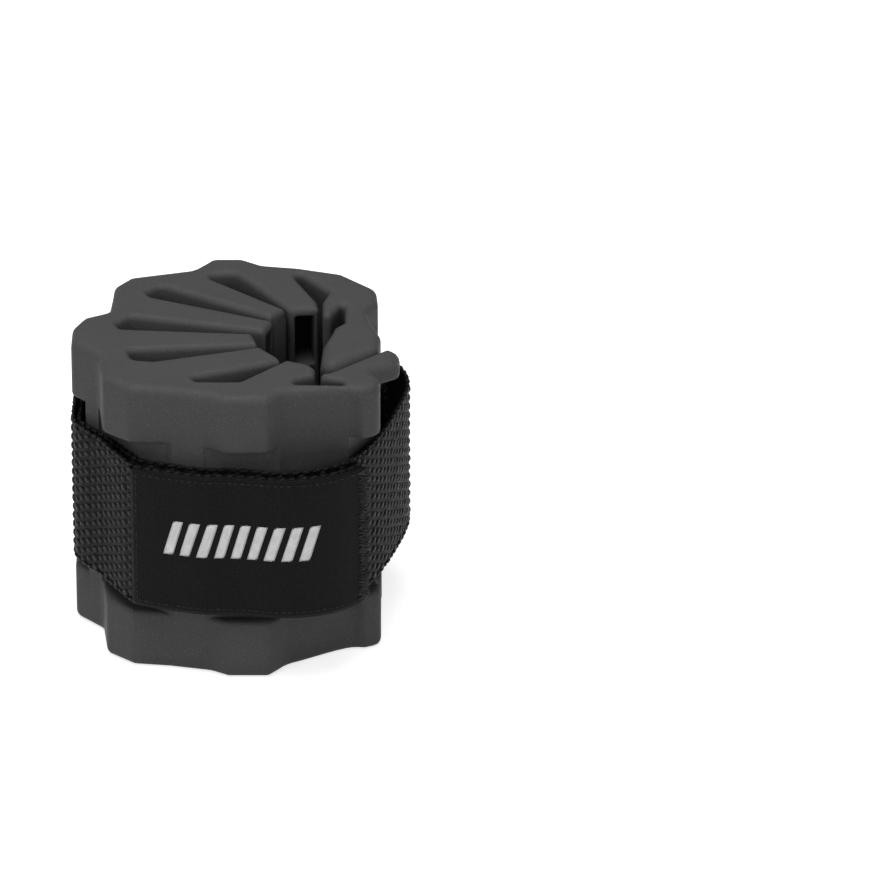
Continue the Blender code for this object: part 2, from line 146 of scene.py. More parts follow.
# Middle of the strap: its first run out of the pad, then its distance from the centre by angle
STRAP_ROOT = [(40.6, 10.5), (44.4, 10.5), (46.5, 11.3), (47.9, 13.4)]
STRAP_ROUTE = [
    (19, 51.1), (25, 53.2), (31, 54.0), (38, 52.4), (50, 51.3), (60, 52.2), (67, 51.2), (75, 50.2),
    (83, 50.1), (90, 49.8), (97, 50.3), (105, 52.1), (112, 50.9), (121, 50.9), (130, 49.9), (140, 48.4),
    (150, 48.2), (160, 49.0), (166, 50.4), (170, 50.4), (180, 49.3), (188, 50.0), (196, 51.7), (203, 50.1),
    (212, 48.5), (222, 49.2), (229, 50.8), (235, 52.2), (242, 51.3), (252, 50.4), (260, 50.7),
    (268, 50.1), (276, 51.2), (284, 54.2), (292, 56.4), (300, 57.6), (311, 57.4), (321, 55.2),
    (332, 53.2), (343, 52.3), (354, 52.9), (363, 54.6), (376, 57.9), (388, 59.2), (400, 58.1),
    (412, 56.2), (420, 54.9), (428, 53.7), (436, 52.7), (450, 52.2), (465, 54.1), (473, 53.2),
    (481, 53.2), (490, 52.2), (500, 50.7), (510, 50.5), (520, 51.2), (526, 52.5), (530, 52.5), (540, 51.7),
    (548, 52.4), (556, 53.5), (563, 52.3), (572, 51.0), (582, 52.2), (589, 54.2), (595, 56.4),
    (602, 56.2), (612, 55.2), (620, 55.4), (628, 54.8), (636, 55.9), (644, 58.9), (652, 61.1),
    (660, 62.3), (668, 62.3), (674, 61.6),
]
LABEL_ANGLES = (596.0, 674.0)
HOOK_ANGLES = (602.0, 674.0)
LOOP_ANGLES = (240.0, 314.0)
STRAP_THICKNESS = 0.0016
CLEARANCE = 0.00035
TAPE_THICKNESS = 0.0008
LABEL_THICKNESS = 0.0006

# Yarn bumps, each a length, a width and a rise: the weave's floats, its edges, and the tapes' pile
FLOAT_BUMP = (0.0037, 0.0023, 0.0007)
SELVEDGE_BUMP = (0.0040, 0.0017, 0.0010)
LOOP_BUMP = (0.0016, 0.0012, 0.0003)
HOOK_BUMP = (0.0005, 0.0009, 0.0003)
# Stitches along the label's long edges, up its inner end, and the loose threads at its outer end
EDGE_STITCH = (0.0019, 0.00035, 0.00022)
END_STITCH = (0.00035, 0.0019, 0.00022)
LOOSE_STITCH = (0.0034, 0.0008, 0.0006)
# Row of plain blocks on the label: its start and length, its low and high edge about the strap's middle,
# each block's share of its pitch, and how far it slants
HATCH_START, HATCH_LENGTH = 0.0127, 0.049
HATCH_LOW, HATCH_HIGH = -0.0042, 0.0078
HATCH_SHARE, HATCH_SLANT = 0.62, 0.3

# Light of the floor's own glow and of the world, and what the world adds where it is seen
FLOOR_GLOW, WORLD_LIGHT, WORLD_SHOWN = 0.7, 0.13, 0.87
# Camera: degrees above the level, and its place from the middle of the pad's top, across, up and back
CAMERA_ELEVATION = 26
CAMERA_ACROSS, CAMERA_UP, CAMERA_BACK = 0.06645, -0.0361, 2.5806

# Middle of the plan in the model's frame, from the pad's left and back, and the middle height of the strap
PLAN_LEFT = min(x for wall in OUTER_WALL.values() for x, _, _ in wall)
PLAN_BACK = max(y for wall in OUTER_WALL.values() for _, y, _ in wall)
CENTRE = Vector((PAD_LOW.x - PLAN_LEFT * MM, PAD_HIGH.y - PLAN_BACK * MM, 0))
STRAP_MIDDLE = (STRAP_LOW.z + STRAP_HIGH.z) / 2
STRAP_WIDTH = STRAP_HIGH.z - STRAP_LOW.z


class Value:
    """A number on a node's socket; sums and products of values add Math nodes."""

    def __init__(self, graph, socket):
        self.graph, self.socket = graph, socket

    def __add__(self, other):
        return self.graph.maths("ADD", self, other)

    def __sub__(self, other):
        return self.graph.maths("SUBTRACT", self, other)

    def __rsub__(self, other):
        return self.graph.maths("SUBTRACT", other, self)

    def __mul__(self, other):
        return self.graph.maths("MULTIPLY", self, other)

    def __truediv__(self, other):
        return self.graph.maths("DIVIDE", self, other)

    def __mod__(self, other):
        return self.graph.maths("FLOORED_MODULO", self, other)

    __radd__, __rmul__ = __add__, __mul__


class Graph:
    """Adds nodes to a node tree."""

    def __init__(self, tree):
        self.tree = tree

    def node(self, kind, settings=None, inputs=None):
        """A node of this type: its settings first, then the values or links of its sockets."""
        made = self.tree.nodes.new(kind)
        for name, value in (settings or {}).items():
            if name == "stops":
                for stop, (place, colour) in zip(made.color_ramp.elements, value):
                    stop.position, stop.color = place, (*colour, 1)
            else:
                setattr(made, name, value)
        for name, value in (inputs or {}).items():
            if isinstance(value, Value):
                value = value.socket
            if isinstance(value, bpy.types.NodeSocket):
                self.tree.links.new(value, made.inputs[name])
            else:
                made.inputs[name].default_value = value
        return made

    def value(self, kind, settings=None, inputs=None, output=0):
        return Value(self, self.node(kind, settings, inputs).outputs[output])

    def maths(self, operation, *values):
        return self.value("ShaderNodeMath", {"operation": operation}, dict(enumerate(values)))

    def smooth(self, value, low, high):
        """0 below the low value, 1 above the high one, and a soft step between."""
        settings = {"interpolation_type": "SMOOTHSTEP"}
        return self.value("ShaderNodeMapRange", settings, {0: value, 1: low, 2: high})

    def mix(self, factor, first, second):
        """A colour between two."""
        made = self.node("ShaderNodeMix", {"data_type": "RGBA"}, {0: factor, 6: first, 7: second})
        return made.outputs[2]


def linear(colour, share=1.0):
    """A node colour from a setting's, made darker or lighter by a share."""
    return (*(min(1.0, channel * share) for channel in colour[:3]), 1.0)


def new_material(name, roughness, specular=0.5):
    """An empty material, its graph and its Principled shader."""
    material = bpy.data.materials.new(name)
    material.use_nodes = True
    graph = Graph(material.node_tree)
    shader = material.node_tree.nodes["Principled BSDF"]
    shader.inputs["Roughness"].default_value = roughness
    shader.inputs["Specular IOR Level"].default_value = specular
    return material, graph, shader


def feed(graph, shader, **values):
    """Links values to the shader's sockets, whose names are written with low lines for spaces."""
    for name, value in values.items():
        socket = value.socket if isinstance(value, Value) else value
        graph.tree.links.new(socket, shader.inputs[name.replace("_", " ")])


def foam_material(settings):
    """Moulded rubber foam: a fine sanded grain with painted glints at fine specks, and faint cloudy shade.
    """
    material, graph, shader = new_material("moulded foam rubber", settings.roughness, 0.15)
    place = graph.node("ShaderNodeTexCoord").outputs["Object"]
    cloud = graph.value("ShaderNodeTexNoise", None, {"Vector": place, "Scale": 60.0, "Detail": 3.0})
    grain = graph.value("ShaderNodeTexNoise", None, {"Vector": place, "Scale": 2600.0, "Detail": 4.0})
    speck = graph.value("ShaderNodeTexNoise", None, {"Vector": place, "Scale": 3400.0, "Detail": 1.0})
    painted_glint = graph.smooth(speck, 0.64, 0.74)
    shade = graph.mix(cloud, linear(settings.colour, 0.9), linear(settings.colour, 1.1))
    shade = graph.mix(graph.smooth(grain, 0.3, 0.7) * 0.35, shade, linear(settings.colour, 1.45))
    # Painted glints: fine specks are painted three times as bright as the foam colour, with a glossier skin
    # there.
    shade = graph.mix(painted_glint * 0.6, shade, linear(settings.colour, 3.0))
    bump = graph.node("ShaderNodeBump", None, {"Strength": 0.35, "Distance": 0.00012, "Height": grain})
    feed(graph, shader, Base_Color=shade, Normal=bump.outputs[0])
    feed(graph, shader, Roughness=settings.roughness + (cloud - 0.5) * 0.12 - painted_glint * 0.25)
    return material


def cloth_map(graph):
    """A piece's own cloth map, and its lengths along and across the cloth."""
    cloth = graph.node("ShaderNodeUVMap", {"uv_map": "cloth"}).outputs[0]
    flat = graph.node("ShaderNodeSeparateXYZ", None, {0: cloth})
    return cloth, Value(graph, flat.outputs[0]), Value(graph, flat.outputs[1])


def yarn_material(name, colour, roughness, pitch, low=0.6, share=1.6):
    """Twisted yarn: fine slanting threads across the cloth map, darkened along the threads as painted shade
    between the twists, in patches from a low to a high share.
    """
    material, graph, shader = new_material(name, roughness, 0.16)
    cloth, along, across = cloth_map(graph)
    wobble = graph.value("ShaderNodeTexNoise", None, {"Vector": cloth, "Scale": 700.0, "Detail": 2.0})
    turn = (across + along * 0.45) * (2 * math.pi / pitch) + wobble * 5.0
    thread = graph.maths("SINE", turn) * 0.5 + 0.5
    patch = graph.value("ShaderNodeTexNoise", None, {"Vector": cloth, "Scale": 260.0, "Detail": 3.0})
    shade = graph.mix(graph.smooth(patch, 0.35, 0.7), linear(colour, low), linear(colour, share))
    # Painted shade: the threads are darkened towards 0.7 times the low share of the colour, as the shade
    # between the twists.
    shade = graph.mix(thread * 0.5, shade, linear(colour, 0.7 * low))
    bump = graph.node("ShaderNodeBump", None, {"Strength": 0.7, "Distance": 0.0002, "Height": thread})
    feed(graph, shader, Base_Color=shade, Normal=bump.outputs[0])
    feed(graph, shader, Roughness=roughness + (patch - 0.5) * 0.35)
    return material


def grid_cloth_material(name, colour, roughness, pitch):
    """Close plain weave: a fine grid of warp and weft with painted shade in its gaps and painted light on
    its crests, and a little lint in it.
    """
    material, graph, shader = new_material(name, roughness, 0.1)
    cloth, along, across = cloth_map(graph)
    turn = math.pi / pitch
    warp = graph.maths("ABSOLUTE", graph.maths("SINE", along * turn))
    weft = graph.maths("ABSOLUTE", graph.maths("SINE", across * turn))
    weave = warp * weft
    fleck = graph.value("ShaderNodeTexNoise", None, {"Vector": cloth, "Scale": 900.0, "Detail": 3.0})
    # Painted shade and painted light: the weave's low gaps are painted darker and its crests lighter,
    # following its relief.
    shade = graph.mix(weave, linear(colour, 0.3), linear(colour, 1.5))
    shade = graph.mix(graph.smooth(fleck, 0.55, 0.75) * 0.5, shade, linear(colour, 3.0))
    bump = graph.node("ShaderNodeBump", None, {"Strength": 0.6, "Distance": 0.00018, "Height": weave})
    feed(graph, shader, Base_Color=shade, Normal=bump.outputs[0])
    feed(graph, shader, Roughness=roughness + (fleck - 0.5) * 0.3)
    return material


def finish_piece(piece, slot, *nodes):
    """Fixes a finished mesh to the model, in the place of these nodes of it."""
    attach(piece, "root")
    if nodes:
        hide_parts(*nodes)


def mesh_object(name, points, faces, material):
    """An object with its place in its mesh."""
    mesh = bpy.data.meshes.new(name)
    mesh.from_pydata([tuple(point) for point in points], [], faces)
    mesh.materials.append(material)
    mesh.shade_smooth()
    piece = bpy.data.objects.new(name, mesh)
    bpy.context.scene.collection.objects.link(piece)
    return piece


def applied(piece):
    """Turns the piece's modifiers into its plain mesh."""
    bpy.context.view_layer.update()
    mesh = bpy.data.meshes.new_from_object(piece.evaluated_get(bpy.context.evaluated_depsgraph_get()))
    piece.modifiers.clear()
    piece.data = mesh
    return piece


def rounded_outline(corners, arc_step, spacing):
    """The closed line through these corners, an arc at each, and the corner that each point belongs to."""
    loop = []
    for index, (x, y, radius) in enumerate(corners):
        here = Vector((x, y))
        before = Vector(corners[index - 1][:2]) - here
        after = Vector(corners[(index + 1) % len(corners)][:2]) - here
        half = before.angle(after) / 2
        reach = min(radius / math.tan(half), 0.45 * before.length, 0.45 * after.length)
        radius = reach * math.tan(half)
        middle = here + (before.normalized() + after.normalized()).normalized() * radius / math.sin(half)
        first = here + before.normalized() * reach - middle
        last = here + after.normalized() * reach - middle
        turn = first.angle_signed(last)
        steps = max(2, math.ceil(abs(turn) / arc_step), math.ceil(abs(turn) * radius / spacing))
        for step in range(steps + 1):
            loop.append((middle + Matrix.Rotation(-turn * step / steps, 2) @ first, index))
    points, owners = [], []
    for (point, owner), (following, _) in zip(loop, loop[1:] + loop[:1]):
        steps = max(1, math.ceil((following - point).length / spacing))
        for step in range(steps):
            points.append(point.lerp(following, step / steps))
            owners.append(owner)
    return np.array(points), owners


def nearest(points, starts, ends):
    """Each point's distance from the nearest of these segments, and the number of that segment."""
    along = ends - starts
    square = np.maximum((along ** 2).sum(1), 1e-12)
    gaps, which = np.empty(len(points)), np.empty(len(points), int)
    for first in range(0, len(points), 1000):
        offset = points[first:first + 1000, None] - starts[None]
        share = np.clip((offset * along).sum(2) / square, 0, 1)
        gap = np.linalg.norm(offset - share[..., None] * along, axis=2)
        which[first:first + 1000] = gap.argmin(1)
        gaps[first:first + 1000] = gap.min(1)
    return gaps, which


def rounding(distance, radius):
    """How far an edge of this radius has fallen at a distance inside it."""
    inner = np.clip(radius - distance, 0, radius)
    return radius - np.sqrt(radius ** 2 - inner ** 2)


def split_loop(corners, spacing):
    """Closed polygon with points no further apart than the spacing."""
    points = []
    for start, end in zip(corners, corners[1:] + corners[:1]):
        start, end = Vector(start), Vector(end)
        steps = max(1, math.ceil((end - start).length / spacing))
        points += [tuple(start.lerp(end, step / steps)) for step in range(steps)]
    return points


def panel_loops():
    """Rectangles over the lobes that the waist is cut back by."""
    loops = []
    for name, first, before, after, depth in PANELS:
        start, end = (Vector(corner[:2]) for corner in OUTER_WALL[name][first:first + 2])
        along = (end - start).normalized()
        out = Vector((along.y, -along.x))
        low, high = start - along * before - out * depth, end + along * after - out * depth
        loops.append([low, low + out * PANEL_REACH, high + out * PANEL_REACH, high])
    for degrees, distance, first, last in SQUARE_PANELS:
        out = Vector((math.cos(math.radians(degrees)), math.sin(math.radians(degrees))))
        across = Vector((-out.y, out.x))
        low, high = out * distance + across * first, out * distance + across * last
        loops.append([low, low + out * PANEL_REACH, high + out * PANEL_REACH, high])
    return [split_loop(loop, PANEL_SPACING) for loop in loops]


# The walls between two kinds of ground, from one level to another
WALLS = {
    ("waist", None): [("foot", "top")],
    ("lobe", None): [("foot", "ledge"), ("under", "top")],
    ("nose", None): [("nose", "top")],
    ("waist", "lobe"): [("ledge", "under")],
    ("waist", "nose"): [("foot", "nose")],
    ("lobe", "nose"): [("foot", "ledge"), ("under", "nose")],
}


def pad_plan(settings):
    """The pad's ground plan in triangles, the kind of ground of each, and its points' level heights."""
    named = [(name, corner) for wall in (OUTER_WALL, TEETH) for name in wall for corner in wall[name]]
    outline, owners = rounded_outline([corner for _, corner in named], ARC_STEP, OUTLINE_SPACING)
    roundings = {name: settings.rim_rounding for name in OUTER_WALL}
    roundings.update({"nose": settings.nose_rounding, "tooth 1b": settings.end_rounding})
    radii = np.array([roundings.get(named[owner][0], settings.slot_rounding) for owner in owners]) / MM
    blended = 2 * RADIUS_BLEND + 1
    radii = np.concatenate([radii[-RADIUS_BLEND:], radii, radii[:RADIUS_BLEND]])
    radii = np.convolve(radii, np.ones(blended) / blended, "valid")
    starts, ends = outline, np.roll(outline, -1, axis=0)
    heading = np.roll(outline, -1, axis=0) - np.roll(outline, 1, axis=0)
    heading /= np.linalg.norm(heading, axis=1)[:, None]
    inwards = np.stack([-heading[:, 1], heading[:, 0]], 1)
    loose = []
    for angle in EDGE_TURNS:
        share = 1 - math.cos(math.radians(min(angle, 90))) + (EDGE_ROOM if angle > 90 else 0)
        ring = outline + inwards * (radii * share)[:, None]
        gap, _ = nearest(ring, starts, ends)
        loose.append(ring[gap > radii * share * RING_SHARE])
    low, high = outline.min(0), outline.max(0)
    xs, ys = (np.arange(low[axis], high[axis], LATTICE_PITCH) for axis in (0, 1))
    lattice = np.array([(x + (row % 2) * LATTICE_PITCH / 2, y) for row, y in enumerate(ys) for x in xs])
    gap, which = nearest(lattice, starts, ends)
    loose.append(lattice[gap > radii[which] * (1 + EDGE_ROOM) + LATTICE_GAP])
    x0, x1, y0, y1 = NOSE_BOX
    loops = [split_loop([(x0, y0), (x1, y0), (x1, y1), (x0, y1)], PANEL_SPACING)] + panel_loops()
    points, faces = [tuple(point) for point in outline], [list(range(len(outline)))]
    for loop in loops:
        faces.append(list(range(len(points), len(points) + len(loop))))
        points += loop
    points += [tuple(point) for group in loose for point in group]
    found = delaunay_2d_cdt([Vector(point) for point in points], [], faces, 1, 1e-5)
    ground, triangles, kinds = np.array(found[0]), [], []
    for triangle, inside in zip(found[2], found[5]):
        if 0 in inside:
            a, b, c = (ground[corner] for corner in triangle)
            turned = (b[0] - a[0]) * (c[1] - a[1]) - (b[1] - a[1]) * (c[0] - a[0]) < 0
            triangles.append(tuple(reversed(triangle)) if turned else tuple(triangle))
            kinds.append("nose" if 1 in inside else "lobe" if len(inside) > 1 else "waist")
    sides = {}
    for triangle, kind in zip(triangles, kinds):
        for a, b in zip(triangle, triangle[1:] + triangle[:1]):
            sides[a, b] = kind
    foot = [(a, b) for (a, b), kind in sides.items()
            if kind != "nose" and sides.get((b, a)) in (None, "nose")]
    gap, which = nearest(ground, starts, ends)
    foot_gap, _ = nearest(ground, ground[[a for a, _ in foot]], ground[[b for _, b in foot]])
    ledge = rounding(gap, settings.lobe_rounding / MM)
    levels = {
        "top": PAD_HEIGHT - rounding(gap, radii[which]),
        "nose": PAD_HEIGHT - NOSE_HEIGHT + ledge,
        "under": PAD_HEIGHT - FLANGE_HEIGHT + ledge,
        "ledge": FLANGE_HEIGHT - ledge,
        "foot": rounding(foot_gap, settings.foot_rounding / MM),
    }
    return ground, triangles, kinds, sides, levels


def pad_solid(settings):
    """Points and faces of the closed pad, with every edge rounded, before its pockets are cut."""
    ground, triangles, kinds, sides, levels = pad_plan(settings)
    points, known, faces = [], {}, []

    def corner(place, height):
        key = (place, round(height * 1000))
        if key not in known:
            known[key] = len(points)
            points.append((*ground[place], height))
        return known[key]

    def cap(triangle, level, upwards):
        face = [corner(place, levels[level][place]) for place in triangle]
        faces.append(face if upwards else face[::-1])

    def column(place, low, high):
        low, high = levels[low][place], levels[high][place]
        rows = [row for row in WALL_ROWS if low + ROW_ROOM < row < high - ROW_ROOM]
        return [corner(place, height) for height in (low, *rows, high)]

    for triangle, kind in zip(triangles, kinds):
        cap(triangle, "top", True)
        if kind == "nose":
            cap(triangle, "nose", False)
            continue
        cap(triangle, "foot", False)
        if kind == "lobe":
            cap(triangle, "under", False)
            cap(triangle, "ledge", True)
    for (a, b), kind in sides.items():
        for low, high in WALLS.get((kind, sides.get((b, a))), ()):
            left, right = column(a, low, high), column(b, low, high)
            while len(left) > 1 or len(right) > 1:
                face = [left[0], right[0]]
                if len(right) > 1:
                    right = right[1:]
                    face.append(right[0])
                if len(left) > 1:
                    left = left[1:]
                    face.append(left[0])
                faces.append(face)
    return points, faces


def add_tube(work, rings):
    """A closed tube through rings of points."""
    made = [[work.verts.new(point) for point in ring] for ring in rings]
    for lower, upper in zip(made, made[1:]):
        for index in range(len(lower)):
            following = (index + 1) % len(lower)
            work.faces.new((lower[index], lower[following], upper[following], upper[index]))
    work.faces.new(made[0][::-1])
    work.faces.new(made[-1])


def rounded_rectangle(half_width, half_height, radius, steps=4):
    """Points round a rectangle with round corners."""
    points = []
    for quarter, (x, y) in enumerate(((1, 1), (-1, 1), (-1, -1), (1, -1))):
        for step in range(steps):
            angle = math.radians(90) * (quarter + step / (steps - 1))
            points.append((x * (half_width - radius) + radius * math.cos(angle),
                           y * (half_height - radius) + radius * math.sin(angle)))
    return points


def pad_cutters(settings):
    """The pockets in the tooth tips, with softly flared mouths, and the slot that holds the strap's root."""
    work = bmesh.new()
    pitch = (PAD_HEIGHT - 2 * POCKET_RIM + POCKET_WEB) / POCKET_ROWS
    depth = settings.pocket_depth / MM
    for name in POCKETED_TEETH:
        start, end = (Vector(corner[:2]) for corner in TEETH[name][-2:])
        inwards = Vector((end.y - start.y, start.x - end.x)).normalized()
        along = (end - start).normalized()
        half_width, half_height = (end - start).length / 2 - POCKET_WALL, (pitch - POCKET_WEB) / 2
        for row in range(POCKET_ROWS):
            height = POCKET_RIM + pitch * row + half_height
            rings = []
            for reach, flare in (*POCKET_FLARE, (depth, -POCKET_DRAFT)):
                middle = (start + end) / 2 - inwards * reach
                shape = rounded_rectangle(half_width + flare, half_height + flare, POCKET_CORNER + flare)
                rings.append([(*(middle + along * u), height + v) for u, v in shape])
            add_tube(work, rings)
    x0, x1, y0, y1, z0, z1 = ANCHOR_SLOT
    add_tube(work, [[(x0, y0, z), (x1, y0, z), (x1, y1, z), (x0, y1, z)] for z in (z0, z1)])
    bmesh.ops.recalc_face_normals(work, faces=work.faces)
    mesh = bpy.data.meshes.new("pad cutters")
    work.to_mesh(mesh)
    work.free()
    cutters = bpy.data.objects.new("pad cutters", mesh)
    bpy.context.scene.collection.objects.link(cutters)
    return cutters


def into_frame(points):
    """Tucks the loose end's foot in under its top, and moves plan points to the model's frame."""
    x, y, z = points.T
    along = np.clip((x - LEAN_X[0]) / (LEAN_X[1] - LEAN_X[0]), 0, 1)
    near = np.clip((y - LEAN_Y[0]) / (LEAN_Y[1] - LEAN_Y[0]), 0, 1)
    lean = END_LEAN * (1 - (z / PAD_HEIGHT) ** 2) * along ** 2 * (3 - 2 * along) * near
    return np.stack([x, y + lean, z], 1) * MM + np.array(CENTRE)


def move_points(mesh, change):
    """Puts every vertex of a mesh where the change takes it."""
    places = np.empty(len(mesh.vertices) * 3)
    mesh.vertices.foreach_get("co", places)
    mesh.vertices.foreach_set("co", change(places.reshape(-1, 3)).ravel())
    mesh.update()


def strap_line():
    """Lengths along the strap's middle, the points and outward directions there, and the length by angle."""
    degrees = np.arange(STRAP_ROUTE[0][0], STRAP_ROUTE[-1][0] + 0.5, 1.0)
    angles, radii = np.array(STRAP_ROUTE, float).T
    slopes = np.gradient(radii, angles)
    place = np.clip(np.searchsorted(angles, degrees, "right") - 1, 0, len(angles) - 2)
    span = angles[place + 1] - angles[place]
    part = (degrees - angles[place]) / span
    square, cube = part ** 2, part ** 3
    distance = ((2 * cube - 3 * square + 1) * radii[place]
                + (cube - 2 * square + part) * slopes[place] * span
                + (3 * square - 2 * cube) * radii[place + 1]
                + (cube - square) * slopes[place + 1] * span)
    turn = np.radians(degrees)
    points = np.stack([distance * np.cos(turn), distance * np.sin(turn)], 1)
    points = np.concatenate([STRAP_ROOT, points]) * MM + np.array(CENTRE)[:2]
    lengths = np.concatenate([[0], np.cumsum(np.linalg.norm(np.diff(points, axis=0), axis=1))])
    marks = lengths[len(STRAP_ROOT):]
    even = np.arange(0, lengths[-1], 0.001)
    smooth = np.stack([np.interp(even, lengths, points[:, axis]) for axis in (0, 1)], 1)
    padded = np.pad(smooth, ((2, 2), (0, 0)), mode="reflect", reflect_type="odd")
    smooth = sum(padded[shift:len(smooth) + shift] for shift in range(5)) / 5
    heading = np.gradient(smooth, axis=0)
    heading /= np.linalg.norm(heading, axis=1)[:, None]
    outwards = np.stack([heading[:, 1], -heading[:, 0]], 1)
    return even, smooth, outwards, lambda angle: float(np.interp(angle, degrees, marks))


def wrap(mesh, line):
    """Bends a flat mesh, whose X runs along the strap, Y up it and Z out of it, round the pad.

    The flat places are kept as the cloth map first.
    """
    lengths, points, outwards, _ = line
    flat = np.empty(len(mesh.vertices) * 3)
    mesh.vertices.foreach_get("co", flat)
    flat = flat.reshape(-1, 3)
    corners = np.empty(len(mesh.loops), int)
    mesh.loops.foreach_get("vertex_index", corners)
    for layer in list(mesh.uv_layers):
        mesh.uv_layers.remove(layer)
    mesh.uv_layers.new(name="cloth").data.foreach_set("uv", flat[corners, :2].ravel())
    place = [np.interp(flat[:, 0], lengths, points[:, axis]) for axis in (0, 1)]
    out = [np.interp(flat[:, 0], lengths, outwards[:, axis]) for axis in (0, 1)]
    bent = [place[axis] + out[axis] * flat[:, 2] for axis in (0, 1)] + [flat[:, 1] + STRAP_MIDDLE]
    mesh.vertices.foreach_set("co", np.stack(bent, 1).ravel())
    mesh.update()


def flat_slab(start, end, low, high, inner, outer, corner=0.0, step=0.0012, slant=0.0):
    """A closed flat slab of cloth with softly rounded long edges; its far end may have round corners."""
    columns = max(2, round((end - start) / step))
    rows = max(4, round((high - low) / step))
    middle, half = (low + high) / 2, (high - low) / 2
    points, faces = [], []
    for side in (outer, inner):
        for column in range(columns + 1):
            x = start + (end - start) * column / columns
            past = max(0.0, x - (end - corner)) if corner else 0.0
            narrow = corner - math.sqrt(max(0.0, corner ** 2 - past ** 2))
            for row in range(rows + 1):
                share = 2 * row / rows - 1
                y = middle + share * (half - narrow)
                edge = min(row, rows - row, column, columns - column)
                height = (inner + outer) / 2 if edge == 0 else side
                points.append((x + slant * (y - middle), y, height))
    count = rows + 1
    layer = (columns + 1) * count
    for column in range(columns):
        for row in range(rows):
            a = column * count + row
            faces.append((a, a + count, a + count + 1, a + 1))
            faces.append((layer + a, layer + a + 1, layer + a + count + 1, layer + a + count))
    return points, faces


def flat_piece(name, material, *slab, **options):
    """A flat slab as a mesh object, its two faces joined at the rim."""
    piece = mesh_object(name, *flat_slab(*slab, **options), material)
    work = bmesh.new()
    work.from_mesh(piece.data)
    bmesh.ops.remove_doubles(work, verts=work.verts, dist=1e-6)
    work.to_mesh(piece.data)
    work.free()
    return piece


def join(target, *others):
    """Adds the others' meshes, each with its material, to the target's and removes them."""
    work = bmesh.new()
    work.from_mesh(target.data)
    for other in others:
        material = other.data.materials[-1]
        if material not in list(target.data.materials):
            target.data.materials.append(material)
        known = len(work.faces)
        work.from_mesh(other.data)
        work.faces.ensure_lookup_table()
        for face in work.faces[known:]:
            face.material_index = list(target.data.materials).index(material)
        bpy.data.objects.remove(other)
    work.to_mesh(target.data)
    work.free()
    return target


BUMP_SIZES = ("Length", "Width", "Column pitch", "Row pitch", "Bump length", "Bump width", "Bump rise",
              "Stagger", "Twist", "Unevenness")


def bump_tree():
    """Node tree: rows of small pillows on a flat field, each turned and sized a little at random."""
    tree = bpy.data.node_groups.new("rows of yarn bumps", "GeometryNodeTree")
    tree.interface.new_socket("Geometry", in_out="INPUT", socket_type="NodeSocketGeometry")
    for name in BUMP_SIZES:
        tree.interface.new_socket(name, in_out="INPUT", socket_type="NodeSocketFloat")
    tree.interface.new_socket("Seed", in_out="INPUT", socket_type="NodeSocketInt")
    tree.interface.new_socket("Finish", in_out="INPUT", socket_type="NodeSocketMaterial")
    tree.interface.new_socket("Geometry", in_out="OUTPUT", socket_type="NodeSocketGeometry")
    graph = Graph(tree)
    given = graph.node("NodeGroupInput")
    size = {name: Value(graph, given.outputs[name]) for name in BUMP_SIZES}
    seed = given.outputs["Seed"]
    columns = graph.maths("ROUND", size["Length"] / size["Column pitch"])
    rows = graph.maths("ROUND", size["Width"] / size["Row pitch"])
    field = graph.node("GeometryNodeMeshGrid", None, {
        "Size X": size["Length"], "Size Y": size["Width"],
        "Vertices X": graph.value("FunctionNodeFloatToInt", None, {0: columns + 1}),
        "Vertices Y": graph.value("FunctionNodeFloatToInt", None, {0: rows + 1}),
    })
    spot = graph.node("ShaderNodeSeparateXYZ", None, {0: graph.node("GeometryNodeInputPosition").outputs[0]})
    along = Value(graph, spot.outputs[0]) + size["Length"] * 0.5
    column = graph.maths("ROUND", along / size["Column pitch"])
    lift = (column % 2.0) * size["Row pitch"] * size["Stagger"]
    shift = graph.node("ShaderNodeCombineXYZ", None, {"Y": lift}).outputs[0]
    moved = graph.node("GeometryNodeSetPosition", None, {"Geometry": field.outputs[0], "Offset": shift})
    block = graph.node("GeometryNodeMeshCube", None, {
        "Size": graph.node("ShaderNodeCombineXYZ", None, {
            "X": size["Bump length"], "Y": size["Bump width"], "Z": size["Bump rise"] * 2}).outputs[0]})
    pillow = graph.node("GeometryNodeSubdivisionSurface", None, {"Mesh": block.outputs[0], "Level": 1})
    soft = graph.node("GeometryNodeSetShadeSmooth", None, {"Geometry": pillow.outputs[0]})
    chance = {"data_type": "FLOAT"}
    twist = graph.node("FunctionNodeRandomValue", chance, {
        2: size["Twist"] * -1.0, 3: size["Twist"], "Seed": seed})
    grow = graph.node("FunctionNodeRandomValue", chance, {
        2: 1.0 - size["Unevenness"], 3: 1.0 + size["Unevenness"], "Seed": Value(graph, seed) + 1.0})
    turn = graph.node("ShaderNodeCombineXYZ", None, {"Z": twist.outputs[1]}).outputs[0]
    placed = graph.node("GeometryNodeInstanceOnPoints", None, {
        "Points": moved.outputs[0], "Instance": soft.outputs[0], "Rotation": turn, "Scale": grow.outputs[1]})
    real = graph.node("GeometryNodeRealizeInstances", None, {0: placed.outputs[0]})
    coloured = graph.node("GeometryNodeSetMaterial", None, {
        "Geometry": real.outputs[0], "Material": given.outputs["Finish"]})
    graph.node("NodeGroupOutput", None, {0: coloured.outputs[0]})
    return tree


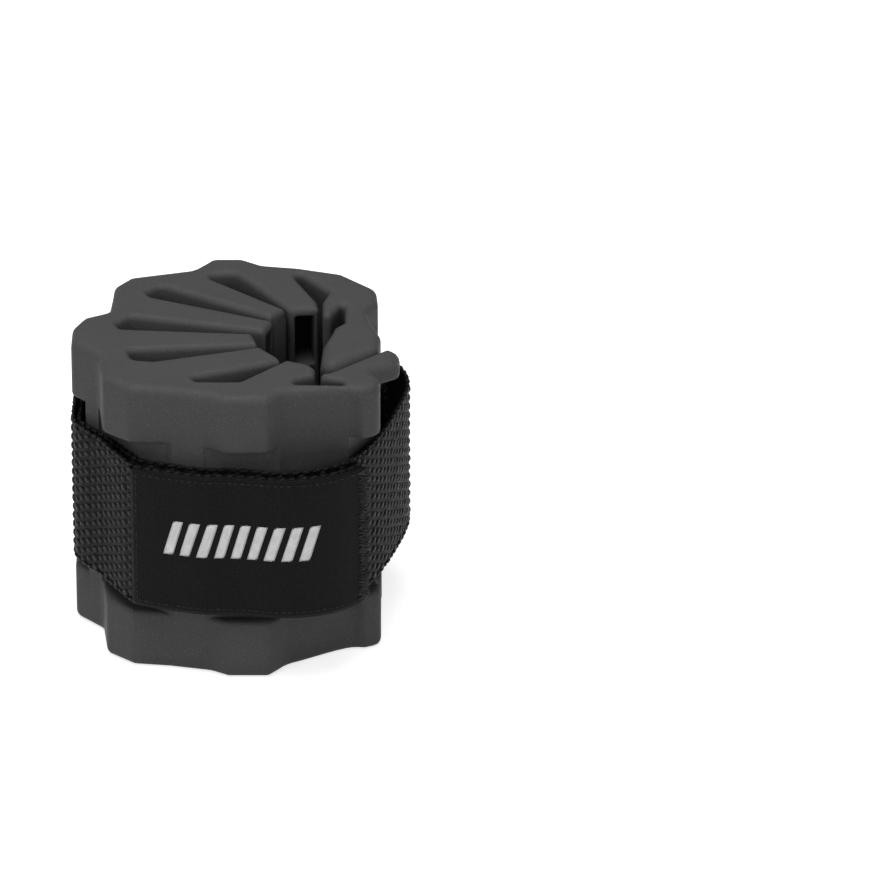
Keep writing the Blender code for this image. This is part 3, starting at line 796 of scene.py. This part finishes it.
def bump_rows(name, material, middle, length, width, pitches, bump,
              stagger=0.5, twist=0.1, uneven=0.08, seed=1):
    """Rows of yarn bumps about a middle point of the flat strap, as a plain mesh object."""
    tree = bpy.data.node_groups.get("rows of yarn bumps") or bump_tree()
    piece = mesh_object(name, [(0, 0, 0)], [], material)
    modifier = piece.modifiers.new("bumps", "NODES")
    modifier.node_group = tree
    values = dict(zip(BUMP_SIZES, (length, width, *pitches, *bump, stagger, twist, uneven)))
    values.update(Seed=seed, Finish=material)
    for item in tree.interface.items_tree:
        if item.in_out == "INPUT" and item.name in values:
            modifier[item.identifier] = values[item.name]
    applied(piece)
    piece.data.transform(Matrix.Translation(middle))
    return piece


class PadSettings(bpy.types.PropertyGroup):
    """The foam pad."""

    colour: bpy.props.FloatVectorProperty(
        name="Foam colour", description="Colour of the moulded rubber foam", subtype="COLOR",
        default=(0.066, 0.066, 0.068), min=0, max=1)
    roughness: bpy.props.FloatProperty(
        name="Foam roughness", description="How matt the foam's skin is", default=0.62, min=0, max=1)
    rim_rounding: bpy.props.FloatProperty(
        name="Rim rounding", description="Radius of the top edge round the outside",
        default=0.0030, min=0.0005, max=0.005, unit="LENGTH")
    slot_rounding: bpy.props.FloatProperty(
        name="Slot rounding", description="Radius of the top edge round the slots and teeth",
        default=0.0022, min=0.0005, max=0.004, unit="LENGTH")
    nose_rounding: bpy.props.FloatProperty(
        name="Nose rounding", description="Radius of the top edge round the loose end's nose",
        default=0.0040, min=0.0005, max=0.005, unit="LENGTH")
    end_rounding: bpy.props.FloatProperty(
        name="End rounding", description="Radius of the top edge along the fixed end",
        default=0.0045, min=0.0005, max=0.005, unit="LENGTH")
    foot_rounding: bpy.props.FloatProperty(
        name="Foot rounding", description="Radius of the bottom edge",
        default=0.0025, min=0.0005, max=0.004, unit="LENGTH")
    lobe_rounding: bpy.props.FloatProperty(
        name="Lobe rounding", description="Radius of the edge under each lobe",
        default=0.0015, min=0.0005, max=0.0015, unit="LENGTH")
    pocket_depth: bpy.props.FloatProperty(
        name="Pocket depth", description="How deep the tooth tips are hollowed",
        default=0.013, min=0.002, max=0.016, unit="LENGTH")


class StrapSettings(bpy.types.PropertyGroup):
    """The webbing strap, its tapes and its label."""

    colour: bpy.props.FloatVectorProperty(
        name="Webbing colour", description="Colour of the strap's yarn", subtype="COLOR",
        default=(0.0085, 0.0085, 0.0090), min=0, max=1)
    column_pitch: bpy.props.FloatProperty(
        name="Weave length", description="Length of one step of the weave along the strap",
        default=0.0035, min=0.001, max=0.01, unit="LENGTH")
    row_pitch: bpy.props.FloatProperty(
        name="Weave height", description="Height of one step of the weave up the strap",
        default=0.0031, min=0.001, max=0.01, unit="LENGTH")
    label_colour: bpy.props.FloatVectorProperty(
        name="Label colour", description="Colour of the close-woven patch", subtype="COLOR",
        default=(0.0060, 0.0060, 0.0065), min=0, max=1)
    label_corner: bpy.props.FloatProperty(
        name="Label corner", description="Radius of the patch's corners at the strap's end",
        default=0.004, min=0, max=0.01, unit="LENGTH")
    mark_colour: bpy.props.FloatVectorProperty(
        name="Hatch colour", description="Colour of the row of plain blocks on the patch", subtype="COLOR",
        default=(0.92, 0.92, 0.92), min=0, max=1)
    mark_count: bpy.props.IntProperty(
        name="Hatch blocks", description="How many slanted blocks the row has", default=9, min=1, max=20)


class StageSettings(bpy.types.PropertyGroup):
    """The floor, lamps and camera."""

    floor_colour: bpy.props.FloatVectorProperty(
        name="Floor colour", description="Colour of the floor", subtype="COLOR",
        default=(0.80, 0.80, 0.80), min=0, max=1)
    lens: bpy.props.FloatProperty(
        name="Lens", description="Focal length of the camera, in millimetres",
        default=327.0, min=20, max=800)


class FRAMEPAD_OT_foam(bpy.types.Operator):
    """Make the moulded foam pad"""

    bl_idname = "framepad.foam"
    bl_label = "Foam Pad"

    def execute(self, context):
        settings = context.scene.framepad_pad
        points, faces = pad_solid(settings)
        pad = mesh_object("foam_pad", points, faces, foam_material(settings))
        cutters = pad_cutters(settings)
        cut = pad.modifiers.new("pockets", "BOOLEAN")
        cut.operation, cut.solver, cut.object = "DIFFERENCE", "EXACT", cutters
        applied(pad)
        bpy.data.objects.remove(cutters)
        move_points(pad.data, into_frame)
        pad.data.shade_smooth()
        pad.data.set_sharp_from_angle(angle=math.radians(50))
        finish_piece(pad, "rubber_foam", "pad_body")
        return {"FINISHED"}


class FRAMEPAD_OT_strap(bpy.types.Operator):
    """Make the webbing strap with the floats of its coarse weave"""

    bl_idname = "framepad.strap"
    bl_label = "Webbing Strap"

    def execute(self, context):
        settings = context.scene.framepad_strap
        line = strap_line()
        length, half = line[0][-1], STRAP_WIDTH / 2
        yarn = yarn_material("webbing yarn", settings.colour, 0.42, 0.00045)
        # Painted shade: the band between the floats is the same yarn at 0.35 of its colour, standing in for
        # the shade in the gaps between the floats.
        ground = yarn_material("webbing ground in painted shade", [0.35 * part for part in settings.colour], 0.6, 0.00045)
        band = flat_piece("strap_band", ground, 0.001, length, -half + 0.0006, half - 0.0006,
                          -0.0006, 0.0006, step=0.0018)
        middle = (length / 2, -settings.row_pitch / 4, 0.00055)
        pitches = (settings.column_pitch, settings.row_pitch)
        floats = bump_rows("floats", yarn, middle, length - 0.006, STRAP_WIDTH - 0.006, pitches,
                           FLOAT_BUMP, twist=0.2, uneven=0.14, seed=3)
        edges = bump_rows("selvedge", yarn, (length / 2, 0, 0.0002), length - 0.005, STRAP_WIDTH - 0.0016,
                          (0.0034, STRAP_WIDTH - 0.0016), SELVEDGE_BUMP, stagger=0.0, twist=0.16,
                          uneven=0.08, seed=5)
        join(band, floats, edges)
        wrap(band.data, line)
        finish_piece(band, "webbing", "strap_webbing")
        return {"FINISHED"}


class FRAMEPAD_OT_tapes(bpy.types.Operator):
    """Make the hook tape and the loop tape under the label"""

    bl_idname = "framepad.tapes"
    bl_label = "Hook and Loop Tapes"

    def execute(self, context):
        line = strap_line()
        width = STRAP_WIDTH - 0.004
        gap = STRAP_THICKNESS / 2 + CLEARANCE + TAPE_THICKNESS / 2
        for name, angles, shift, bump in (
                ("loop_tape", LOOP_ANGLES, gap, LOOP_BUMP), ("hook_tape", HOOK_ANGLES, -gap, HOOK_BUMP)):
            material = yarn_material(name.replace("_", " ") + " nylon", (0.009, 0.009, 0.0095), 0.7, 0.0006)
            start, end = (line[3](angle) for angle in angles)
            side = math.copysign(TAPE_THICKNESS / 2 - 0.0002, shift)
            tape = flat_piece(name + "_strip", material, start, end, -width / 2, width / 2,
                              shift - 0.0002, shift + 0.0002, step=0.0025)
            pile = bump_rows("pile", material, ((start + end) / 2, 0, shift + side / 2), end - start - 0.003,
                             width - 0.003, (0.0019, 0.0019), bump, twist=0.7, uneven=0.2, seed=7)
            join(tape, pile)
            wrap(tape.data, line)
            finish_piece(tape, name, name)
        return {"FINISHED"}


class FRAMEPAD_OT_label(bpy.types.Operator):
    """Make the close-woven patch, its stitching and its row of plain blocks"""

    bl_idname = "framepad.label"
    bl_label = "Woven Patch"

    def execute(self, context):
        settings = context.scene.framepad_strap
        line = strap_line()
        start, end = (line[3](angle) for angle in LABEL_ANGLES)
        half = STRAP_WIDTH / 2 - 0.0004
        inner = STRAP_THICKNESS / 2 + CLEARANCE
        outer = inner + LABEL_THICKNESS
        cloth = grid_cloth_material("label cloth", settings.label_colour, 0.62, 0.0008)
        patch = flat_piece("label_cloth", cloth, start, end - 0.0006, -half, half, inner, outer,
                           corner=settings.label_corner)
        flat_length = end - start
        wrap(patch.data, line)
        finish_piece(patch, "label_cloth", "label_patch")

        thread = yarn_material("stitching thread", (0.030, 0.030, 0.031), 0.5, 0.0004, share=2.0)
        middle = (start + end) / 2
        apart = 2 * half - 0.0042
        seams = bump_rows("label_stitches", thread, (middle, 0, outer), flat_length - 0.006, apart,
                          (0.0021, apart), EDGE_STITCH, stagger=0.0, twist=0.06, uneven=0.1, seed=11)
        left = bump_rows("left", thread, (start + 0.0021, 0, outer), 0.0001, 2 * half - 0.006,
                         (0.001, 0.0021), END_STITCH, stagger=0.0, twist=0.06, seed=12)
        right = bump_rows("right", thread, (end - 0.0026, 0, outer), 0.0030, 2 * half - 0.005,
                          (0.0011, 0.0011), LOOSE_STITCH, stagger=0.5, twist=0.45, uneven=0.3, seed=13)
        join(seams, left, right)
        wrap(seams.data, line)
        finish_piece(seams, "label_cloth")

        white = yarn_material("white yarn", settings.mark_colour, 0.55, 0.0005, low=0.92, share=1.05)
        first, pitch = start + HATCH_START, HATCH_LENGTH / settings.mark_count
        blocks = [flat_piece(f"block {number}", white,
                             first + pitch * number, first + pitch * (number + HATCH_SHARE),
                             HATCH_LOW, HATCH_HIGH, outer - 0.0001, outer + 0.00015,
                             step=0.0008, slant=HATCH_SLANT)
                  for number in range(settings.mark_count)]
        marks = join(blocks[0], *blocks[1:])
        marks.name = "hatch_blocks"
        wrap(marks.data, line)
        finish_piece(marks, "label_cloth")
        return {"FINISHED"}


class FRAMEPAD_OT_stage(bpy.types.Operator):
    """Make the white floor, the lamps and the camera"""

    bl_idname = "framepad.stage"
    bl_label = "Stage"

    def execute(self, context):
        settings = context.scene.framepad_stage
        floor_material, graph, shader = new_material("white floor", 0.9, 0.1)
        shader.inputs["Base Color"].default_value = linear(settings.floor_colour)
        ray = graph.node("ShaderNodeLightPath")
        seen = graph.maths("MAXIMUM", Value(graph, ray.outputs["Is Camera Ray"]),
                           Value(graph, ray.outputs["Is Glossy Ray"]))
        seen = graph.maths("MAXIMUM", seen, Value(graph, ray.outputs["Is Transmission Ray"]))
        glow = graph.node("ShaderNodeEmission", None, {"Color": (1, 1, 1, 1), "Strength": seen * FLOOR_GLOW})
        output = graph.tree.nodes["Material Output"]
        total = graph.node("ShaderNodeAddShader", None, {0: shader.outputs[0], 1: glow.outputs[0]})
        graph.tree.links.new(total.outputs[0], output.inputs["Surface"])
        reach = 6.0
        corners = [(-reach, -reach, 0), (reach, -reach, 0), (reach, reach, 0), (-reach, reach, 0)]
        floor = mesh_object("floor", corners, [(0, 1, 2, 3)], floor_material)

        world = bpy.data.worlds.new("studio")
        world.use_nodes = True
        context.scene.world = world
        graph = Graph(world.node_tree)
        ray = graph.node("ShaderNodeLightPath")
        strength = Value(graph, ray.outputs["Is Camera Ray"]) * WORLD_SHOWN + WORLD_LIGHT
        shown = world.node_tree.nodes["Background"]
        shown.inputs["Color"].default_value = (1, 1, 1, 1)
        world.node_tree.links.new(strength.socket, shown.inputs["Strength"])

        middle = Vector((0, 0, PAD_HEIGHT * MM / 2))
        for name, place, size, power in (
                ("top lamp", (-0.1, -0.1, 1.1), 0.9, 9.4),
                ("front left lamp", (-0.9, -1.0, 0.7), 0.7, 4.4),
                ("front right lamp", (1.0, -0.8, 0.6), 0.7, 3.0)):
            lamp = bpy.data.lights.new(name, "AREA")
            lamp.size, lamp.energy = size, power
            holder = bpy.data.objects.new(name, lamp)
            holder.location = place
            holder.rotation_euler = (middle - Vector(place)).to_track_quat("-Z", "Y").to_euler()
            context.scene.collection.objects.link(holder)

        camera = bpy.data.cameras.new("camera")
        camera.lens, camera.sensor_width = settings.lens, 36.0
        camera.clip_start, camera.clip_end = 0.1, 30.0
        holder = bpy.data.objects.new("camera", camera)
        elevation = math.radians(CAMERA_ELEVATION)
        right, up = Vector((1, 0, 0)), Vector((0, math.sin(elevation), math.cos(elevation)))
        ahead = Vector((0, math.cos(elevation), -math.sin(elevation)))
        target = CENTRE + Vector((0, 0, PAD_HEIGHT * MM))
        holder.location = target + CAMERA_ACROSS * right + CAMERA_UP * up - CAMERA_BACK * ahead
        holder.rotation_euler = (math.radians(90) - elevation, 0, 0)
        context.scene.collection.objects.link(holder)
        context.scene.camera = holder
        context.scene.view_settings.view_transform = "Standard"
        return {"FINISHED"}


class FRAMEPAD_PT_panel(bpy.types.Panel):
    """Lists the pad's settings and the pieces to make"""

    bl_idname = "FRAMEPAD_PT_panel"
    bl_label = "Frame Pad"
    bl_space_type = "VIEW_3D"
    bl_region_type = "UI"
    bl_category = "Frame Pad"

    def draw(self, context):
        for group_name, group in GROUPS.items():
            box = self.layout.box()
            for name in group.__annotations__:
                box.prop(getattr(context.scene, group_name), name)
        for operator in OPERATORS:
            self.layout.operator(operator.bl_idname)


GROUPS = {"framepad_pad": PadSettings, "framepad_strap": StrapSettings, "framepad_stage": StageSettings}
OPERATORS = (FRAMEPAD_OT_foam, FRAMEPAD_OT_strap, FRAMEPAD_OT_tapes, FRAMEPAD_OT_label, FRAMEPAD_OT_stage)


def register():
    for group in (*GROUPS.values(), *OPERATORS, FRAMEPAD_PT_panel):
        bpy.utils.register_class(group)
    for name, group in GROUPS.items():
        setattr(bpy.types.Scene, name, bpy.props.PointerProperty(type=group))


def unregister():
    for name in GROUPS:
        delattr(bpy.types.Scene, name)
    for group in (FRAMEPAD_PT_panel, *reversed(OPERATORS), *reversed(list(GROUPS.values()))):
        bpy.utils.unregister_class(group)


def main():
    register()
    for operator in (bpy.ops.framepad.foam, bpy.ops.framepad.strap, bpy.ops.framepad.tapes,
                     bpy.ops.framepad.label, bpy.ops.framepad.stage):
        operator()


if __name__ == "__main__":
    main()
